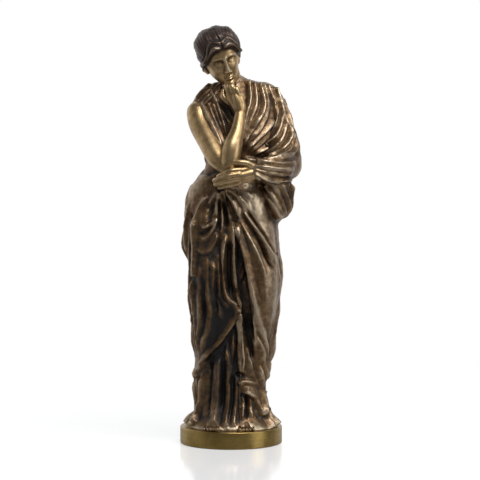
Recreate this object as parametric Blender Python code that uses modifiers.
"""Bronze statuette of a draped, pensive woman standing on a turned round plinth.

+Z is up and the figure faces -Y. The origin is the centre of the plinth's underside.
The figure's pose and carving are written in grid squares, 400 of them to her height,
with x to the viewer's right, y away from the viewer and z up from the plinth's top.
"""

import math

import bmesh
import bpy
import numpy as np
from mathutils import Matrix, Vector
from mathutils.bvhtree import BVHTree

# Driving dimensions, in metres
FIGURE_HEIGHT = 0.400
PLINTH_HEIGHT = 0.017
PLINTH_EDGE_ROUND = 0.0012
# How far the plinth's top reaches past the widest spread of the hem
PLINTH_MARGIN = 0.0035
REST_GAP = 0.0003

# Fineness of the solids
PLINTH_SPOKES = 96
CLOTH_VOXEL = 1.5
CASTING_VOXEL = 1.2
FIGURE_TRIANGLES = 8600

# One grid square, in metres
SQUARE = FIGURE_HEIGHT / 400
# Half the spread of the hem on the plinth, in grid squares
HEM_REACH = 48
PLINTH_RADIUS = HEM_REACH * SQUARE + PLINTH_MARGIN
# How far the drapery is modelled below the plinth's top, before it is cut flat
BELOW_GROUND = 6

# The wrapped body: height, then how far it reaches left, right, front and back
BODY_SECTIONS = [
    (-BELOW_GROUND, HEM_REACH - 3, HEM_REACH - 1, 43, 41),
    (1, HEM_REACH - 3, HEM_REACH - 1, 43, 41),
    (6, 42, 44, 41, 38),
    (14, 38, 40, 38, 35),
    (28, 36.5, 36.5, 35, 32),
    (45, 38, 34.5, 34, 31),
    (60, 37, 35.5, 33.5, 31),
    (80, 36, 42, 33, 32),
    (108, 38.5, 44.5, 34, 33),
    (140, 40, 48.5, 35, 34),
    (165, 39.5, 48, 36, 35),
    (182, 46, 48.5, 36, 38),
    (205, 45.5, 47.5, 34, 41),
    (225, 45, 46, 31, 37),
    (240, 41, 44, 29, 31),
    (256, 30, 42, 27, 26),
    (275, 27, 42, 28, 26),
    (295, 31, 44, 31, 30),
    (312, 35, 46, 29, 33),
    (325, 36, 46, 24, 31),
    (335, 31, 45, 19, 27),
    (341, 25, 42, 15, 22),
    (346, 17, 29, 12, 17),
    (350, 11, 14, 9, 13),
    (353, 8, 9, 8, 12),
]

# The mantle that hangs over the bent left arm, on its own column of ellipses:
# height, centre x and y, half width and half depth
MANTLED_ARM = [
    (203, 43, -4, 4, 5),
    (207, 42, -6, 8, 13),
    (216, 43, -9, 13.5, 20),
    (232, 45, -12, 14.5, 23),
    (246, 46, -14, 14.5, 25),
    (256, 47, -14, 15.5, 26),
    (266, 48, -11, 16.5, 24),
    (282, 49, -5, 17.5, 20),
    (298, 45, 0, 17, 18),
    (312, 40, 2, 17, 17),
    (325, 36, 3, 16.5, 16),
    (335, 34, 3, 14, 13),
    (342, 33, 3, 11, 10),
    (346, 32, 3, 5, 5),
]

# Limbs under the cloth: points down the middle and the radius at each
THIGH_AND_SHIN_LEFT = [
    (18, -14, 205, 24), (24, -22, 165, 22), (27, -26, 135, 19), (24, -18, 90, 15), (20, -12, 40, 12),
]
THIGH_AND_SHIN_RIGHT = [(-18, -10, 205, 24), (-20, -16, 150, 21), (-18, -14, 90, 16), (-16, -12, 40, 13)]
BELLY = [(4, -12, 238, 18), (15, -18, 224, 22), (20, -18, 198, 20)]
CHEST = [(-17, -14, 298, 15), (0, -15, 300, 16), (20, -14, 302, 16)]
WRAPPED_FOREARM = [(56, -14, 262, 15), (46, -34, 260, 13), (36, -46, 258, 9.5), (27, -49, 256, 7.5)]
SHOULDER_CLOTH = [(-14, 2, 336, 13), (-22, 2, 331, 13), (-29, 1.5, 325, 12), (-33, 1, 318, 10.5)]
SLEEVE = [(-26, -9, 318, 9), (-18, -19, 302, 9), (-12, -27, 286, 8), (-10, -34, 272, 6)]

# Bare arms, neck and hands
UPPER_ARM = [
    (-32.5, -3, 315, 12.2), (-30, -10, 303, 12), (-22, -24, 286, 11), (-13, -36, 270, 10.6),
    (-3, -44, 260, 8.6),
]
FOREARM = [
    (0, -46, 257, 7), (-0.5, -47, 265, 9.2), (1.5, -46, 279, 9.6), (6.5, -41.5, 296, 6.8),
    (9.5, -36, 315, 4.9),
]
RAISED_PALMS = [
    [(9.5, -36, 313, 4.6), (6, -35.5, 320, 5), (1, -34, 327.5, 4.5), (-1, -33.5, 332, 3.8)],
    [(9.5, -36, 313, 4.6), (8, -36.5, 320, 5.2), (5.5, -36.5, 328, 4.8), (4.5, -36.5, 332, 3.8)],
    [(9.5, -36, 313, 4.6), (10, -36, 320, 4.8), (9.5, -36, 326, 4.2), (9, -36, 329, 3.4)],
]
RAISED_FINGERS = [
    [(-1, -34.5, 332.9, 3.1), (-3.5, -34, 338.9, 2.9), (-3.5, -29, 341.8, 2.6), (-1.5, -26, 338.8, 2.2)],
    [(3, -37, 333.4, 3.1), (1, -37, 339.4, 2.9), (0, -32, 340.8, 2.6), (1, -29, 336.8, 2.2)],
    [(7, -37.5, 331.4, 3), (5.5, -37.5, 336.9, 2.8), (4, -32.5, 337.8, 2.5), (4, -29.5, 333.8, 2.1)],
    [(10.5, -36, 327.9, 2.7), (9.3, -36, 332.4, 2.5), (7.5, -32, 332.8, 2.3), (6.5, -29.5, 328.8, 2)],
    [(4, -32, 320.9, 3.4), (-4, -31, 325.9, 3.2), (-7.5, -29.5, 330.8, 2.8), (-7, -27.5, 335.8, 2.3)],
]
RESTING_PALMS = [
    [(30, -47, 257.5, 5.6), (20, -50, 258, 5.2), (10, -53, 256, 4.6)],
    [(30, -47, 257.5, 5.6), (20, -51, 254, 5.4), (9, -54, 251, 4.8)],
    [(30, -47, 257.5, 5.6), (20, -49, 251.5, 4.8), (9, -51.5, 247, 4.2)],
]
RESTING_FINGERS = [
    [(9, -55, 257, 3), (0, -56.5, 256, 2.8), (-7, -53, 253, 2.6), (-12, -49, 251, 2.2)],
    [(8, -56.5, 253, 3.1), (-2, -58, 251, 2.9), (-10, -54, 248.6, 2.7), (-16, -49.5, 247, 2.3)],
    [(8, -56, 248.8, 3), (-2, -57.5, 246.6, 2.8), (-9, -54, 244.4, 2.6), (-15, -50, 243, 2.2)],
    [(8, -54, 245, 2.7), (0, -55, 242.6, 2.5), (-6, -52, 241, 2.3), (-11, -49, 240, 2)],
    [(23, -52, 260, 3.4), (16, -55, 263.5, 3.1), (9, -56, 264.5, 2.7), (4, -55, 264, 2.3)],
]
NECK = [(4, 4, 330, 13), (2, 0, 342, 10.4), (-1, -6, 354, 9.8), (-4, -10, 364, 10)]
FEET = [
    [(10, -16, 5, 8), (14, -30, 3, 7.5), (15.5, -38, -0.5, 5.6)],
    [(-17, -16, 5, 8), (-19, -28, 3, 7), (-20, -36, -0.5, 5.4)],
]
FOOT_BALLS = [(15.5, -42), (-20, -40.5)]
TOE_SPACING = 3.3
TOE_RADIUS = 2.0

# The head: height in grid squares, and how it is bowed, tilted and turned, in degrees
HEAD_HEIGHT = 54
HEAD_CENTRE = (-11, -14, 370.5)
HEAD_BOW, HEAD_TILT, HEAD_TURN = 24, -20, 10
# Its sections as shares of its height: height, half width, reach forward and reach back
HEAD_SECTIONS = [
    (-0.505, 0.050, 0.330, -0.200),
    (-0.490, 0.100, 0.365, -0.140),
    (-0.450, 0.150, 0.385, -0.080),
    (-0.400, 0.190, 0.378, -0.020),
    (-0.330, 0.235, 0.375, 0.100),
    (-0.250, 0.270, 0.375, 0.200),
    (-0.150, 0.300, 0.380, 0.320),
    (-0.050, 0.320, 0.375, 0.400),
    (0.000, 0.328, 0.372, 0.430),
    (0.080, 0.340, 0.390, 0.460),
    (0.180, 0.350, 0.383, 0.470),
    (0.280, 0.345, 0.350, 0.450),
    (0.360, 0.320, 0.290, 0.390),
    (0.430, 0.260, 0.200, 0.290),
    (0.480, 0.160, 0.090, 0.170),
    (0.500, 0.050, 0.010, 0.060),
]
# Soft swellings and hollows of the face: x, height, spread across, spread up, depth.
# A feature off the middle is mirrored.
FACE_FEATURES = [
    (0.125, 0.002, 0.062, 0.038, -0.060),
    (0.125, -0.006, 0.044, 0.022, 0.040),
    (0.135, 0.072, 0.080, 0.020, 0.016),
    (0.000, -0.040, 0.028, 0.060, 0.044),
    (0.000, -0.120, 0.032, 0.050, 0.062),
    (0.000, -0.178, 0.038, 0.026, 0.076),
    (0.050, -0.190, 0.022, 0.018, 0.034),
    (0.190, -0.110, 0.080, 0.070, 0.018),
    (0.000, -0.284, 0.064, 0.015, 0.034),
    (0.000, -0.332, 0.054, 0.018, 0.036),
    (0.000, -0.308, 0.084, 0.008, -0.018),
    (0.000, -0.380, 0.060, 0.020, -0.018),
    (0.000, -0.440, 0.060, 0.045, 0.016),
]
# Hair: thickness of the cap and of the roll on it round the face, its strands and how deep they are cut
HAIR_CAP, HAIR_ROLL = 0.060, 0.022
HAIR_STRANDS, STRAND_DEPTH = 58, 0.016
# The knot of hair as shares of the head's height: how far back, how high, and its radius
BUN_BACK, BUN_HEIGHT, BUN_RADIUS = 0.50, -0.10, 0.20
# An ear lobe's middle line and radii, in grid squares from the head's middle, on her left side
EAR = [(17.4, 1.5, -6, 2.0), (17.2, 0.5, -9, 2.2), (16.4, -0.5, -12, 1.7)]


def clear_scene():
    """Remove whatever the opened file holds."""
    for item in list(bpy.data.objects):
        bpy.data.objects.remove(item, do_unlink=True)


def collection(name):
    """A new collection in the scene."""
    made = bpy.data.collections.new(name)
    bpy.context.scene.collection.children.link(made)
    return made


def mesh_object(name, points, faces):
    """An object from points and faces, in no collection yet."""
    mesh = bpy.data.meshes.new(name)
    mesh.from_pydata([tuple(p) for p in points], [], faces)
    mesh.validate()
    return bpy.data.objects.new(name, mesh)


def through(points, count):
    """A smooth curve through the points, read at evenly spaced shares of its length."""
    points = np.array(points, float)
    if len(points) == 2:
        share = np.linspace(0, 1, count)[:, None]
        return points[0] * (1 - share) + points[1] * share
    before, after = 2 * points[0] - points[1], 2 * points[-1] - points[-2]
    framed = np.vstack([before, points, after])
    steps = np.linspace(0, 1, 12, endpoint=False)[:, None]
    runs = []
    for a, b, c, d in zip(framed, framed[1:], framed[2:], framed[3:]):
        runs.append(
            0.5 * (2 * b + (c - a) * steps + (2 * a - 5 * b + 4 * c - d) * steps**2
                   + (3 * b - a - 3 * c + d) * steps**3)
        )
    fine = np.vstack(runs + [points[-1:]])
    length = np.concatenate([[0], np.cumsum(np.linalg.norm(np.diff(fine, axis=0), axis=1))])
    places = np.linspace(0, length[-1], count)
    return np.column_stack([np.interp(places, length, fine[:, k]) for k in range(fine.shape[1])])


def ring_faces(rings, spokes):
    """The quads between rings of points, and the two end caps."""
    faces = []
    for ring in range(rings - 1):
        low, high = ring * spokes, (ring + 1) * spokes
        for spoke in range(spokes):
            after = (spoke + 1) % spokes
            faces.append((low + spoke, low + after, high + after, high + spoke))
    faces.append(tuple(reversed(range(spokes))))
    faces.append(tuple(range((rings - 1) * spokes, rings * spokes)))
    return faces


def section_points(height, left, right, front, back, spokes, squareness):
    """One closed section, counter-clockwise seen from above; front is towards -y."""
    turn = np.linspace(0, 2 * math.pi, spokes, endpoint=False)
    across, along = np.cos(turn), np.sin(turn)
    power = 2 / squareness
    across = np.sign(across) * np.abs(across) ** power
    along = np.sign(along) * np.abs(along) ** power
    x = (right - left) / 2 + across * (left + right) / 2
    y = np.where(along < 0, along * front, along * back)
    return np.column_stack([x, y, np.full(spokes, height)])


def loft(name, sections, rings, spokes, squareness=2.2):
    """A closed body through unlike sections, each given as height, left, right, front, back."""
    track = through(sections, rings)
    points = np.vstack([section_points(*row, spokes, squareness) for row in track])
    return mesh_object(name, points, ring_faces(rings, spokes))


def column(name, sections, rings=40, spokes=48):
    """A closed body through ellipses given as height, centre x and y, half width and half depth."""
    track = through(sections, rings)
    turn = np.linspace(0, 2 * math.pi, spokes, endpoint=False)
    points = [
        np.column_stack([x + wide * np.cos(turn), y + deep * np.sin(turn), np.full(spokes, height)])
        for height, x, y, wide, deep in track
    ]
    return mesh_object(name, np.vstack(points), ring_faces(rings, spokes))


def limb(name, stations):
    """A round limb along stations of x, y, z and radius, with rounded ends."""
    track = through(stations, 5 * len(stations))
    ends = []
    for end, inner in ((track[0], track[1]), (track[-1], track[-2])):
        away = (end[:3] - inner[:3]) / np.linalg.norm(end[:3] - inner[:3])
        domes = [
            np.append(end[:3] + away * end[3] * math.sin(lift), end[3] * math.cos(lift))
            for lift in np.radians([30, 55, 75, 88])
        ]
        ends.append(domes)
    track = np.vstack([ends[0][::-1], track, ends[1]])
    curve = bpy.data.curves.new(name, "CURVE")
    curve.dimensions = "3D"
    curve.bevel_depth = 1.0
    curve.bevel_resolution = 4
    curve.use_fill_caps = True
    spline = curve.splines.new("POLY")
    spline.points.add(len(track) - 1)
    for point, (x, y, z, radius) in zip(spline.points, track):
        point.co = (x, y, z, 1)
        point.radius = radius
    source = bpy.data.objects.new(name, curve)
    return as_mesh(source)


def as_mesh(source):
    """Turn an object into a plain mesh object as it is evaluated, and remove it."""
    bpy.context.scene.collection.objects.link(source)
    bpy.context.view_layer.update()
    graph = bpy.context.evaluated_depsgraph_get()
    mesh = bpy.data.meshes.new_from_object(source.evaluated_get(graph))
    shaped = bmesh.new()
    shaped.from_mesh(mesh)
    bmesh.ops.remove_doubles(shaped, verts=shaped.verts, dist=1e-4)
    bmesh.ops.recalc_face_normals(shaped, faces=shaped.faces)
    shaped.to_mesh(mesh)
    shaped.free()
    made = bpy.data.objects.new(source.name, mesh)
    made.matrix_world = source.matrix_world
    bpy.data.objects.remove(source, do_unlink=True)
    return made


def fused(name, pieces, voxel, smoothing):
    """Pour overlapping pieces into one skin, and ease the joints between them."""
    joined = bmesh.new()
    for piece in pieces:
        piece.data.transform(piece.matrix_world)
        joined.from_mesh(piece.data)
        bpy.data.objects.remove(piece, do_unlink=True)
    mesh = bpy.data.meshes.new(name)
    joined.to_mesh(mesh)
    joined.free()
    source = bpy.data.objects.new(name, mesh)
    remesh = source.modifiers.new("one skin", "REMESH")
    remesh.mode = "VOXEL"
    remesh.voxel_size = voxel
    remesh.adaptivity = 0
    ease = source.modifiers.new("eased joints", "SMOOTH")
    ease.factor = 0.5
    ease.iterations = smoothing
    return as_mesh(source)


def read_mesh(source):
    """Points and outward normals of a mesh object."""
    count = len(source.data.vertices)
    points = np.empty(count * 3)
    source.data.vertices.foreach_get("co", points)
    normals = np.empty(count * 3)
    source.data.vertices.foreach_get("normal", normals)
    return points.reshape(-1, 3), normals.reshape(-1, 3)


def write_points(source, points):
    """Move the mesh's points."""
    source.data.vertices.foreach_set("co", points.ravel())
    source.data.update()


# Drapery


def projected(tree, view, track):
    """Lay a line drawn as seen from a view, in degrees round the figure, onto the surface."""
    angle = math.radians(view)
    rightward = Vector((math.cos(angle), math.sin(angle), 0))
    inward = Vector((-math.sin(angle), math.cos(angle), 0))
    laid = []
    for across, height in track:
        start = rightward * across - inward * 200 + Vector((0, 0, height))
        hit = tree.ray_cast(start, inward, 400)[0]
        if hit is not None:
            laid.append(hit)
    return np.array(laid)


def along_line(points, normals, line, reach):
    """Indices of points within reach of a line, their distance, their share of its length and their side.

    The side is 1 to the right of a line that runs down, as seen from outside, and -1 to its left.
    """
    low, high = line.min(0) - reach, line.max(0) + reach
    near = np.flatnonzero(((points > low) & (points < high)).all(1))
    chosen = points[near]
    best = np.full(len(near), 1e9)
    share = np.zeros(len(near))
    side = np.zeros(len(near))
    runs = len(line) - 1
    for k in range(runs):
        start, step = line[k], line[k + 1] - line[k]
        size = max(step @ step, 1e-9)
        place = np.clip((chosen - start) @ step / size, 0, 1)
        away = chosen - start - place[:, None] * step
        distance = np.linalg.norm(away, axis=1)
        closer = distance < best
        best[closer] = distance[closer]
        share[closer] = (k + place[closer]) / runs
        side[closer] = np.sign((np.cross(step, away[closer]) * normals[near[closer]]).sum(1))
    kept = best < reach
    return near[kept], best[kept], share[kept], side[kept]


def bell(share):
    """1 at 0, falling smoothly to 0 at 1."""
    share = np.clip(share, 0, 1)
    return 1 - share * share * (3 - 2 * share)


def crest(share):
    """1 at 0, falling to 0 at 1, with a crisper top than a bell."""
    share = np.clip(share, 0, 1)
    return (1 - share) ** 2 * (1 + 1.3 * share)


# How much wider a fold's foot is than its crest, how sharply folds meet, how much one flank of a
# fold is steeper, and how much a fold swells and shrinks along its course
FOLD_FOOT, FOLD_BLEND, FOLD_LEAN, FOLD_SWELL = 1.7, 5, 0.3, 0.28
# How many pleats the dress would have right round the hem, and how many degrees on each side of
# the front are left to the folds of dress_front
DRESS_PLEATS, OPEN_FRONT = 34, 58
# The sides that folds are drawn from, in degrees round the figure from her front
FRONT, LEFT_CORNER, LEFT_SIDE, BACK, RIGHT_SIDE = 0, 60, 90, 180, -90


class Drapery:
    """Ridges and valleys of cloth raised along lines that are laid on a surface."""

    def __init__(self, surface):
        self.surface = surface
        self.points, self.normals = read_mesh(surface)
        shaped = bmesh.new()
        shaped.from_mesh(surface.data)
        self.tree = BVHTree.FromBMesh(shaped)
        shaped.free()
        self.ridges = np.zeros(len(self.points))
        self.valleys = np.zeros(len(self.points))

    def fold(self, view, line, width, height, fade=(0.15, 0.15), spread=(1.0, 1.0)):
        """One ridge, or a valley where height is negative, whose width spreads along it."""
        laid = projected(self.tree, view, through(line, 28))
        if len(laid) < 3:
            return
        reach = width * max(spread) * FOLD_FOOT / (1 - FOLD_LEAN)
        which, distance, share, side = along_line(self.points, self.normals, laid, reach)
        start = 1 - bell(share / max(fade[0], 1e-6))
        end = 1 - bell((1 - share) / max(fade[1], 1e-6))
        local_width = width * (spread[0] + (spread[1] - spread[0]) * share)
        place = distance / local_width * (1 + FOLD_LEAN * side)
        if height > 0:
            outline = 0.4 * crest(place) + 0.6 * np.clip(1 - (place / FOLD_FOOT) ** 2, 0, 1) ** 1.6
        else:
            outline = 0.6 * crest(place) + 0.4 * bell(place / FOLD_FOOT)
        x, y, z = self.points[which].T
        phase = 6 * math.sin(2.3 * line[0][0] + 0.9 * line[-1][0])
        swell = 1 + FOLD_SWELL * np.sin(0.14 * z + 0.11 * x - 0.13 * y + phase)
        store = self.ridges if height > 0 else self.valleys
        store[which] += (abs(height) * outline * start * end * swell) ** FOLD_BLEND

    def family(self, view, first, last, count, width, height, fade=(0.15, 0.15), sway=0.0, spread=(1.0, 1.0)):
        """Folds that pass evenly from a first line to a last one, and vary a little in width and height."""
        first, last = np.array(first, float), np.array(last, float)
        for k in range(count):
            share = k / max(count - 1, 1)
            line = first * (1 - share) + last * share
            line[1:-1, 0] += sway * math.sin(2.4 * k + 1)
            lift = height * (0.80 + 0.20 * math.cos(2.1 * k))
            self.fold(view, line, width * (0.96 + 0.14 * math.sin(1.7 * k)), lift, fade, spread)

    def raise_cloth(self):
        """Move the surface out along the ridges and in along the valleys."""
        lift = self.ridges ** (1 / FOLD_BLEND) - self.valleys ** (1 / FOLD_BLEND)
        write_points(self.surface, self.points + self.normals * lift[:, None])


# The mantle's lower and upper edges round the figure: degrees from the front, then height
MANTLE_HEM = [
    (-180, 44), (-150, 38), (-120, 42), (-90, 50), (-62, 57), (-48, 66), (-38, 72), (-17, 86), (-3, 98),
    (10, 110), (13, 108), (14, 58), (15, 42), (24, 37), (34, 33), (43, 28), (52, 14), (62, 13), (75, 20),
    (90, 38), (120, 36), (150, 38), (180, 44),
]
MANTLE_TOP = [
    (-180, 320), (-165, 303), (-150, 287), (-120, 262), (-90, 254), (-45, 252), (-20, 258), (0, 272),
    (8, 296), (14, 322), (20, 352), (125, 356), (150, 343), (168, 330), (180, 320),
]
# How far the dress sinks beyond those edges, how deep the groove under the hem is, and how far
# each edge rolls out
HEM_STEP, TOP_STEP = 3.0, 2.4
HEM_GROOVE = 1.2
HEM_ROLL, TOP_ROLL = 0.6, 0.8


def edge_at(edge, bearing):
    """Height of a garment's edge at each bearing."""
    edge = np.array(edge, float)
    return np.interp(bearing, edge[:, 0], edge[:, 1])


def above_edge(edge, points):
    """How far points lie above a garment's edge, measured square to it."""
    bearing = np.degrees(np.arctan2(points[:, 0], -points[:, 1]))
    square_per_degree = np.radians(1) * np.hypot(points[:, 0], points[:, 1])
    climb = edge_at(edge, bearing + 1.5) - edge_at(edge, bearing - 1.5)
    slope = climb / (3 * np.maximum(square_per_degree, 0.1))
    return (points[:, 2] - edge_at(edge, bearing)) / np.sqrt(1 + slope**2)


def part_the_garments(surface):
    """Sink the under-dress beyond the mantle's edges, so that the edges stand proud."""
    points, normals = read_mesh(surface)
    below = -above_edge(MANTLE_HEM, points)
    near_ground = bell((14 - points[:, 2]) / 14)
    sunk = HEM_STEP * smooth_share((below + 1) / 3.0) + HEM_GROOVE * bell(np.abs(below - 7) / 7)
    rolled = HEM_ROLL * bell(np.abs(below + 3) / 4)
    above = above_edge(MANTLE_TOP, points)
    sunk_top = TOP_STEP * smooth_share((above + 1) / 2.5)
    rolled_top = TOP_ROLL * bell(np.abs(above + 2.5) / 3.5)
    lift = rolled - sunk * near_ground + rolled_top - sunk_top
    write_points(surface, points + normals * lift[:, None])


def drape(surface):
    """Carve the folds that are seen from the front, the sides and the back."""
    cloth = Drapery(surface)
    fan_from_the_waist(cloth)
    long_front_folds(cloth)
    left_skirt(cloth)
    turned_corner(cloth)
    hip_swags(cloth)
    shoulder_folds(cloth)
    forearm_folds(cloth)
    bodice_folds(cloth)
    side_folds(cloth)
    back_folds(cloth)
    dress_front(cloth)
    underdress_pleats(cloth)
    cloth.raise_cloth()


def fan_from_the_waist(cloth):
    """Fold the cloth that spreads from where the mantle is gathered under the hand."""
    cloth.fold(FRONT, ((-12, 236), (-17, 229), (-23, 221)), 2.6, 3.4, (0.05, 0.3))
    cloth.fold(FRONT, ((-11, 235), (-13, 222), (-14, 208)), 2.8, 4.6, (0.05, 0.2))
    cloth.fold(FRONT, ((-10, 236), (-9, 222), (-8, 206), (-10, 188)), 2.6, 3.8, (0.05, 0.3))
    cloth.fold(FRONT, ((-8, 237), (-3, 224), (0, 206)), 3.0, 5.0, (0.05, 0.2))
    cloth.fold(FRONT, ((-7, 238), (2, 229), (8, 216), (10, 206)), 3.0, 4.2, (0.05, 0.3))
    cloth.fold(FRONT, ((-6, 239), (4, 234), (14, 225), (20, 214)), 3.0, 3.4, (0.05, 0.3))
    cloth.fold(FRONT, ((-4, 240), (8, 238), (22, 231)), 2.8, 2.6, (0.05, 0.3))
    cloth.fold(FRONT, ((-11, 230), (-11, 214), (-11, 196)), 2.4, -3.6)
    cloth.fold(FRONT, ((-6, 228), (-4, 212), (-4, 200)), 2.4, -3.6)
    cloth.fold(FRONT, ((-16, 224), (-20, 212), (-21, 204)), 2.8, -3.0)


def long_front_folds(cloth):
    """Fold the cloth that falls from the waist to the hem."""
    cloth.fold(
        FRONT, ((0, 208), (3, 195), (4, 166), (7, 138), (10, 122), (10, 108)),
        3.4, 5.6, (0.08, 0.05),
    )
    cloth.fold(
        FRONT, ((-4, 196), (-7, 172), (-7, 152), (-3, 133), (6, 124), (10, 114)),
        3.0, 5.0, (0.1, 0.05),
    )
    cloth.fold(FRONT, ((-1, 188), (-1, 150), (3, 134)), 3.2, -5.5)
    cloth.fold(FRONT, ((6, 208), (12, 183), (16, 166), (20, 149), (26, 122), (31, 100), (35, 76), (37, 60)),
               3.4, 4.6, (0.06, 0.1))
    cloth.fold(FRONT, ((6, 196), (10, 170), (13, 150), (16, 126), (19, 100), (22, 84)),
               6.0, -10.0, (0.25, 0.15), (0.5, 1.1))
    cloth.fold(FRONT, ((9, 218), (20, 201), (29, 187), (38, 168), (45, 156)), 2.4, -5.0, (0.12, 0.2))
    cloth.fold(FRONT, ((14, 221), (26, 204), (36, 190), (47, 171)), 2.0, -3.4, (0.15, 0.2))
    cloth.fold(FRONT, ((7, 212), (17, 194), (25, 178), (32, 160), (38, 142)), 2.6, 2.4, (0.1, 0.4))
    cloth.fold(FRONT, ((12, 218), (24, 201), (35, 183), (46, 164)), 2.2, 2.6, (0.1, 0.2))
    cloth.fold(FRONT, ((10, 118), (11, 90), (12, 68), (11, 50)), 3.2, 5.0, (0.05, 0.35))
    cloth.fold(FRONT, ((15, 120), (17, 98), (20, 80), (20, 66)), 3.0, -6.0, (0.25, 0.2))
    cloth.fold(FRONT, ((21, 116), (24, 96), (25, 78)), 2.6, 3.4, (0.25, 0.25))
    cloth.fold(FRONT, ((24, 98), (31, 80), (33, 62), (34, 44)), 2.4, 4.4, (0.15, 0.1))


def left_skirt(cloth):
    """Draw the finer folds over her right leg, and the hem that crosses it."""
    cloth.fold(FRONT, ((-31, 166), (-30, 124), (-32, 84)), 2.8, 3.0)
    cloth.fold(FRONT, ((-24, 172), (-23, 140), (-20, 112), (-31, 72)), 3.0, 3.4, (0.15, 0.16))
    cloth.fold(FRONT, ((-17, 170), (-17, 138), (-12, 122), (-8, 108)), 2.8, 3.2)
    cloth.fold(FRONT, ((-12, 182), (-13, 150), (-9, 130), (0, 121)), 2.6, 3.4, (0.2, 0.1))
    cloth.fold(FRONT, ((-26, 150), (-26, 120), (-27, 92)), 2.4, -2.8)
    cloth.fold(FRONT, ((-14, 160), (-15, 134), (-13, 116)), 2.4, -3.0)
    cloth.fold(FRONT, ((-38, 150), (-37, 118), (-38, 86)), 2.8, 3.0)
    cloth.fold(FRONT, ((9, 118), (6, 109), (-3, 98), (-12, 86), (-24, 73), (-36, 60)), 2.4, 2.2, (0.2, 0.3))


def turned_corner(cloth):
    """Fold the lifted corner of the mantle over her left foot."""
    cloth.fold(FRONT, ((4, 44), (12, 48), (22, 46), (32, 40)), 2.6, 3.0, (0.3, 0.5))
    cloth.fold(FRONT, ((5, 40), (13, 38), (20, 35), (28, 30)), 2.4, 3.0, (0.3, 0.3))
    cloth.fold(FRONT, ((8, 43), (18, 41), (29, 36)), 5.0, 1.6, (0.4, 0.4))
    cloth.fold(FRONT, ((2, 54), (9, 55), (16, 52)), 3.4, -3.4, (0.4, 0.4))
    cloth.fold(FRONT, ((19, 86), (19, 68), (23, 52), (29, 40)), 3.0, 3.8, (0.25, 0.2))
    cloth.fold(FRONT, ((28, 66), (31, 46), (33, 28), (35, 12)), 3.4, 4.0, (0.2, 0.1))
    cloth.fold(FRONT, ((36, 62), (36, 44), (37, 28)), 2.6, 3.0, (0.2, 0.2))


def hip_swags(cloth):
    """Hang loops of cloth on her right hip, and the flap of the part folded over."""
    cloth.fold(FRONT, ((-13, 211), (-18, 198), (-25, 190), (-32, 189)), 2.8, 4.0, (0.1, 0.2))
    cloth.fold(FRONT, ((-14, 208), (-22, 201), (-31, 200)), 2.4, 3.0, (0.1, 0.25))
    cloth.fold(FRONT, ((-12, 196), (-18, 182), (-27, 176), (-35, 180)), 2.8, 3.2, (0.15, 0.25))
    cloth.fold(FRONT, ((-18, 204), (-25, 195), (-33, 194)), 2.2, -2.6)
    cloth.fold(FRONT, ((-35, 214), (-36, 190), (-35, 151)), 3.6, 4.2, (0.2, 0.03))
    cloth.fold(FRONT, ((-42, 226), (-44, 196), (-42, 158)), 3.2, 3.4, (0.15, 0.05))
    cloth.fold(FRONT, ((-39, 218), (-40, 186), (-39, 158)), 2.2, -2.6)
    cloth.fold(FRONT, ((-22, 232), (-31, 220), (-38, 200)), 2.6, 2.6)


def shoulder_folds(cloth):
    """Let folds fall from her left shoulder and swing in under the raised forearm."""
    courses = (
        ((18, 350), (19, 327), (15, 311), (12, 297), (8, 284)),
        ((28, 348), (32, 321), (25, 303), (17, 291), (10, 280)),
        ((36, 345), (42, 319), (37, 300), (24, 286), (13, 276)),
        ((42, 342), (50, 315), (47, 294), (34, 280), (20, 271)),
        ((45, 338), (56, 309), (58, 288), (48, 274), (32, 268)),
        ((46, 334), (60, 306), (64, 284), (60, 271), (44, 265)),
    )
    for first, last in zip(courses, courses[1:]):
        cloth.family(FRONT, first, last, 3, 2.5, 4.6, (0.06, 0.12), 0.4, (0.8, 1.15))


def forearm_folds(cloth):
    """Wrap the bent forearm in folds, and hang a loop of cloth from it."""
    cloth.fold(FRONT, ((11, 269), (34, 267), (55, 271), (63, 281)), 2.4, 3.6, (0.15, 0.1))
    cloth.family(
        FRONT, ((19, 264), (36, 264), (52, 264), (65, 265)),
        ((24, 252), (34, 246), (46, 243), (61, 242)),
        5, 2.5, 4.2, (0.06, 0.12), 0, (0.7, 1.2),
    )
    cloth.family(
        FRONT, ((27, 243), (36, 232), (45, 219), (50, 209)),
        ((58, 244), (61, 231), (60, 219), (57, 210)),
        5, 2.7, 4.4, (0.06, 0.12),
    )
    cloth.family(
        LEFT_CORNER, ((8, 246), (14, 228), (22, 212)),
        ((38, 246), (40, 228), (34, 212)),
        5, 2.8, 3.8,
    )


def bodice_folds(cloth):
    """Fold the loose sleeve beside the arm, and the dress over the breast."""
    cloth.family(FRONT, ((-29, 327), (-21, 309), (-12, 289), (-8, 275)),
                 ((-13, 325), (-8, 309), (-4, 294), (0, 281)), 4, 2.4, 4.0, (0.08, 0.15))
    cloth.family(
        FRONT, ((-20, 339), (-12, 322), (-4, 308), (3, 296)),
        ((-8, 344), (0, 331), (7, 321), (13, 313)),
        4, 2.5, 3.6, (0.1, 0.2),
    )
    cloth.family(
        FRONT, ((-11, 352), (-22, 342), (-36, 328)),
        ((-6, 344), (-16, 332), (-28, 318)),
        4, 2.3, 2.8,
    )


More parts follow.
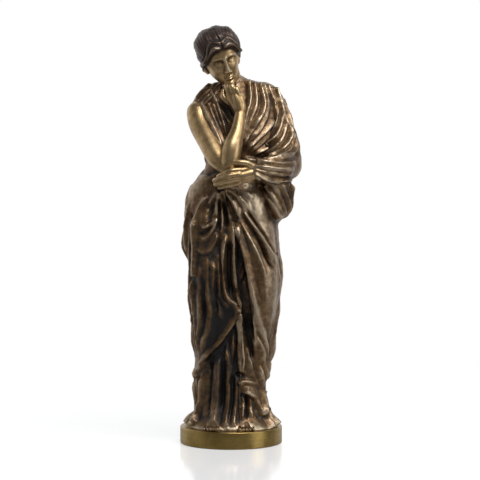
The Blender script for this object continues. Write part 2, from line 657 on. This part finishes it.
def side_folds(cloth):
    """Draw the long folds on her left and right side."""
    cloth.family(
        LEFT_SIDE, ((-20, 178), (-20, 140), (-17, 100), (-17, 40)),
        ((26, 206), (24, 150), (22, 100), (22, 44)),
        6, 3.8, 4.4, (0.2, 0.06), 1.6, (0.8, 1.2),
    )
    cloth.family(LEFT_SIDE, ((-8, 332), (-13, 298), (-17, 266)), ((15, 332), (17, 294), (13, 246)),
                 6, 2.8, 4.2, (0.06, 0.15), 0.8)
    cloth.family(
        LEFT_SIDE, ((-18, 240), (-14, 222), (-8, 208)),
        ((6, 246), (6, 226), (0, 208)),
        4, 2.8, 3.6,
    )
    cloth.family(
        RIGHT_SIDE, ((-26, 216), (-22, 160), (-18, 110), (-16, 66)),
        ((20, 216), (20, 160), (19, 110), (18, 60)),
        6, 3.8, 3.6, (0.2, 0.16), 1.6, (0.8, 1.2),
    )
    cloth.family(
        RIGHT_SIDE, ((-20, 240), (-10, 220), (2, 204)),
        ((-4, 246), (6, 224), (16, 206)),
        3, 3.4, 2.4,
    )
    cloth.family(
        RIGHT_SIDE, ((-14, 316), (-13, 290), (-14, 262)),
        ((14, 316), (13, 290), (14, 262)),
        4, 2.8, 3.0,
    )


def back_folds(cloth):
    """Draw the mantle from her left shoulder to her right hip, and let it fall below."""
    cloth.family(
        BACK, ((-47, 342), (-42, 300), (-16, 258), (26, 226)),
        ((-16, 356), (-2, 326), (17, 294), (30, 266)),
        10, 3.0, 4.4, (0.08, 0.12), 0.8,
    )
    cloth.family(
        BACK, ((-48, 300), (-46, 262), (-40, 222)),
        ((-32, 276), (-26, 246), (-14, 214)),
        4, 3.0, 3.8,
    )
    cloth.family(
        BACK, ((-36, 238), (-40, 180), (-36, 110), (-34, 46)),
        ((36, 218), (40, 160), (36, 104), (34, 46)),
        11, 4.2, 4.2, (0.22, 0.08), 2.6, (0.7, 1.3),
    )
    cloth.family(BACK, ((8, 340), (20, 328), (32, 318)), ((18, 300), (26, 292), (34, 280)), 5, 2.4, 3.0)
    cloth.family(BACK, ((-20, 228), (0, 214), (24, 214)), ((-14, 206), (4, 196), (26, 200)), 3, 3.0, 2.6)


def dress_front(cloth):
    """Fold the dress that shows under the crossing hem."""
    cloth.fold(FRONT, ((-6, 94), (-3, 76), (-2, 58), (-4, 36)), 3.2, 4.2, (0.4, 0.25))
    cloth.fold(FRONT, ((3, 106), (3, 86), (1, 66), (2, 44)), 2.8, 3.8, (0.35, 0.25))
    cloth.fold(FRONT, ((-13, 84), (-12, 56), (-13, 30), (-16, 3)), 4.0, 4.4, (0.5, 0.06))
    cloth.fold(FRONT, ((-24, 70), (-28, 44), (-30, 24), (-36, 3)), 3.8, 4.4, (0.45, 0.06))
    cloth.fold(FRONT, ((-35, 56), (-37, 32), (-44, 4)), 3.2, 3.6, (0.45, 0.06))
    cloth.fold(FRONT, ((-2, 60), (-2, 32), (-5, 3)), 3.0, 3.8, (0.5, 0.06))
    cloth.fold(FRONT, ((6, 62), (5, 32), (3, 3)), 2.6, 3.4, (0.5, 0.06))
    cloth.fold(FRONT, ((12, 36), (12, 22), (11, 9)), 2.2, 2.6, (0.3, 0.2))
    cloth.fold(FRONT, ((18, 33), (20, 20), (21, 10)), 2.2, 2.6, (0.3, 0.2))
    cloth.fold(FRONT, ((-18, 80), (-20, 46), (-23, 10)), 2.6, -4.5, (0.3, 0.2))
    cloth.fold(FRONT, ((-7, 90), (-7, 52), (-9, 12)), 2.6, -4.5, (0.3, 0.2))
    cloth.fold(FRONT, ((2, 70), (2, 38), (-1, 10)), 2.2, -3.0, (0.3, 0.2))
    cloth.fold(FRONT, ((15, 36), (16, 24), (16, 10)), 2.4, -3.6, (0.2, 0.2))


def underdress_pleats(cloth):
    """Narrow pleats between the mantle's edge and the ground, round her sides and back."""
    for k in range(DRESS_PLEATS):
        bearing = -180 + 360 * (k + 0.35 * math.sin(3.7 * k)) / DRESS_PLEATS
        if abs(bearing) < OPEN_FRONT:
            continue
        top = float(edge_at(MANTLE_HEM, bearing)) - 2
        drift = 1.4 * math.sin(5.1 * k)
        line = [(drift, top), (0, top * 0.5), (-drift, 1)]
        cloth.fold(bearing, line, 3.0, 4.0 + 0.8 * math.cos(2.9 * k), (0.04, 0.02), (0.8, 1.25))


# Head, hands and feet


def smooth_share(value):
    """0 below 0, 1 above 1, and a smooth rise between."""
    return 1 - bell(value)


def face_relief(x, z):
    """How far the features stand forward of the plain head, in shares of its height."""
    relief = np.zeros(len(x))
    for across, height, wide, tall, depth in FACE_FEATURES:
        for side in {across, -across}:
            relief += depth * np.exp(-(((x - side) / wide) ** 2) - ((z - height) / tall) ** 2)
    under_nose = smooth_share((z + 0.225) / 0.03)
    nose = np.exp(-((x / 0.07) ** 2)) * (np.abs(z + 0.2) < 0.05)
    return relief - nose * 0.02 * (1 - under_nose)


def hair_depth(x, forward, z):
    """Thickness of the hair over the skull: wavy locks along the hairline, combed back behind them."""
    side = np.abs(x)
    brow = 0.235 - 1.9 * side**2 - 1.2 * np.clip(side - 0.24, 0, 1)
    behind = smooth_share((0.10 - forward) / 0.25)
    above = z - brow * (1 - behind) + 0.32 * behind
    covered = smooth_share((above + 0.02) / 0.07)
    roll = HAIR_ROLL * bell(np.abs(above - 0.085) / 0.09) * (1 - behind)
    framing = HAIR_STRANDS * above + 2.3 * np.sin(20 * side + 6 * forward)
    around = np.arctan2(x, z + 0.15)
    combed = 0.3 * HAIR_STRANDS * around + np.sin(10 * forward + 2 * around)
    near = bell((above - 0.1) / 0.16)
    strands = STRAND_DEPTH * (near * np.sin(framing) + 0.55 * (1 - near) * np.sin(combed))
    return covered * (HAIR_CAP * covered + roll + strands)


def head_object():
    """The head with its face and hair, placed on the neck."""
    rows = [(z, wide, wide, front, back) for z, wide, front, back in HEAD_SECTIONS]
    head = loft("head", rows, 84, 112, 2.15)
    points, normals = read_mesh(head)
    x, forward, z = points[:, 0], -points[:, 1], points[:, 2]
    facing = smooth_share((forward - 0.06) / 0.14)
    points[:, 1] -= face_relief(x, z) * facing
    points += normals * hair_depth(x, forward, z)[:, None]
    write_points(head, points * HEAD_HEIGHT)
    back, height, radius = (HEAD_HEIGHT * share for share in (BUN_BACK, BUN_HEIGHT, BUN_RADIUS))
    bun = limb("bun", [(0, 0.94 * back, height, radius), (0, 1.06 * back, height, 0.9 * radius)])
    ears = [limb("ear", [(side * x, y, z, r) for x, y, z, r in EAR]) for side in (-1, 1)]
    pose = (
        Matrix.Translation(HEAD_CENTRE)
        @ Matrix.Rotation(math.radians(HEAD_TILT), 4, "Y")
        @ Matrix.Rotation(math.radians(HEAD_TURN), 4, "Z")
        @ Matrix.Rotation(math.radians(HEAD_BOW), 4, "X")
    )
    for piece in (head, bun, *ears):
        piece.matrix_world = pose
    return [head, bun, *ears]


def toes(ball, side):
    """Five toes in a row ahead of the ball of a foot, the great toe on the inner side."""
    made = []
    for k in range(5):
        x = ball[0] + side * (k - 2) * TOE_SPACING
        y = ball[1] + 1.1 * k
        radius = TOE_RADIUS * (1.3 if k == 0 else 1 - 0.06 * k)
        toe = [(x, y + 4, 2.8, radius), (x, y, 2.7, 0.9 * radius), (x, y - 3.6, 1.4, 0.95 * radius)]
        made.append(limb("toe", toe))
    return made


def bare_parts():
    """Arms, hands, neck, head and feet."""
    pieces = [limb("upper arm", UPPER_ARM), limb("forearm", FOREARM), limb("neck", NECK)]
    pieces += [limb("palm", line) for line in RAISED_PALMS + RESTING_PALMS]
    pieces += [limb("finger", line) for line in RAISED_FINGERS + RESTING_FINGERS]
    pieces += [limb("foot", line) for line in FEET]
    pieces += toes(FOOT_BALLS[0], 1) + toes(FOOT_BALLS[1], -1)
    return pieces + head_object()


def wrapped_body():
    """The body and covered arm as one smooth skin of cloth, then its carved folds."""
    pieces = [loft("body", BODY_SECTIONS, 150, 120), column("mantled arm", MANTLED_ARM)]
    for line in (THIGH_AND_SHIN_LEFT, THIGH_AND_SHIN_RIGHT, BELLY, CHEST, WRAPPED_FOREARM,
                 SHOULDER_CLOTH, SLEEVE):
        pieces.append(limb("under cloth", line))
    surface = fused("wrapped body", pieces, CLOTH_VOXEL, 8)
    part_the_garments(surface)
    drape(surface)
    return surface


def material(name, colour, roughness):
    """A bronze finish."""
    made = bpy.data.materials.new(name)
    made.use_nodes = True
    shader = made.node_tree.nodes["Principled BSDF"]
    shader.inputs["Base Color"].default_value = (*colour, 1)
    shader.inputs["Roughness"].default_value = roughness
    shader.inputs["Metallic"].default_value = 1.0
    return made


def make_figure(shown):
    """Pour cloth and bare parts into one casting, thin it out and cut it flat to stand."""
    casting = fused("figure", [wrapped_body(), *bare_parts()], CASTING_VOXEL, 2)
    thin = casting.modifiers.new("fewer faces", "DECIMATE")
    thin.ratio = FIGURE_TRIANGLES / (2 * len(casting.data.polygons))
    figure = as_mesh(casting)
    figure.name = "figure"
    cut_flat(figure.data)
    figure.data.transform(Matrix.Scale(SQUARE, 4))
    figure.location = (0, 0, PLINTH_HEIGHT + REST_GAP)
    figure.data.materials.append(material("patinated bronze", (0.20, 0.14, 0.09), 0.38))
    figure.data.shade_smooth()
    shown.objects.link(figure)


def cut_flat(mesh):
    """Take off what is below the plinth's top, and close the cut."""
    shaped = bmesh.new()
    shaped.from_mesh(mesh)
    everything = shaped.verts[:] + shaped.edges[:] + shaped.faces[:]
    bmesh.ops.bisect_plane(
        shaped, geom=everything, dist=1e-3, plane_co=(0, 0, 0), plane_no=(0, 0, 1), clear_inner=True,
    )
    rim = [edge for edge in shaped.edges if edge.is_boundary]
    bmesh.ops.holes_fill(shaped, edges=rim)
    bmesh.ops.triangulate(shaped, faces=shaped.faces[:])
    shaped.to_mesh(mesh)
    shaped.free()


def make_plinth(shown):
    """The turned disc under the figure."""
    bpy.ops.mesh.primitive_cylinder_add(
        vertices=PLINTH_SPOKES, radius=PLINTH_RADIUS, depth=PLINTH_HEIGHT,
        location=(0, 0, PLINTH_HEIGHT / 2),
    )
    plinth = bpy.context.object
    plinth.name = "plinth"
    for holder in list(plinth.users_collection):
        holder.objects.unlink(plinth)
    shown.objects.link(plinth)
    rounding = plinth.modifiers.new("rounded edges", "BEVEL")
    rounding.width = PLINTH_EDGE_ROUND
    rounding.segments = 2
    rounding.limit_method = "ANGLE"
    rounding.angle_limit = math.radians(40)
    plinth.data.materials.append(material("polished bronze", (0.42, 0.31, 0.11), 0.28))
    plinth.data.shade_smooth()


def main():
    """Build the statuette."""
    clear_scene()
    shown = collection("bronze statuette")
    make_plinth(shown)
    make_figure(shown)


main()
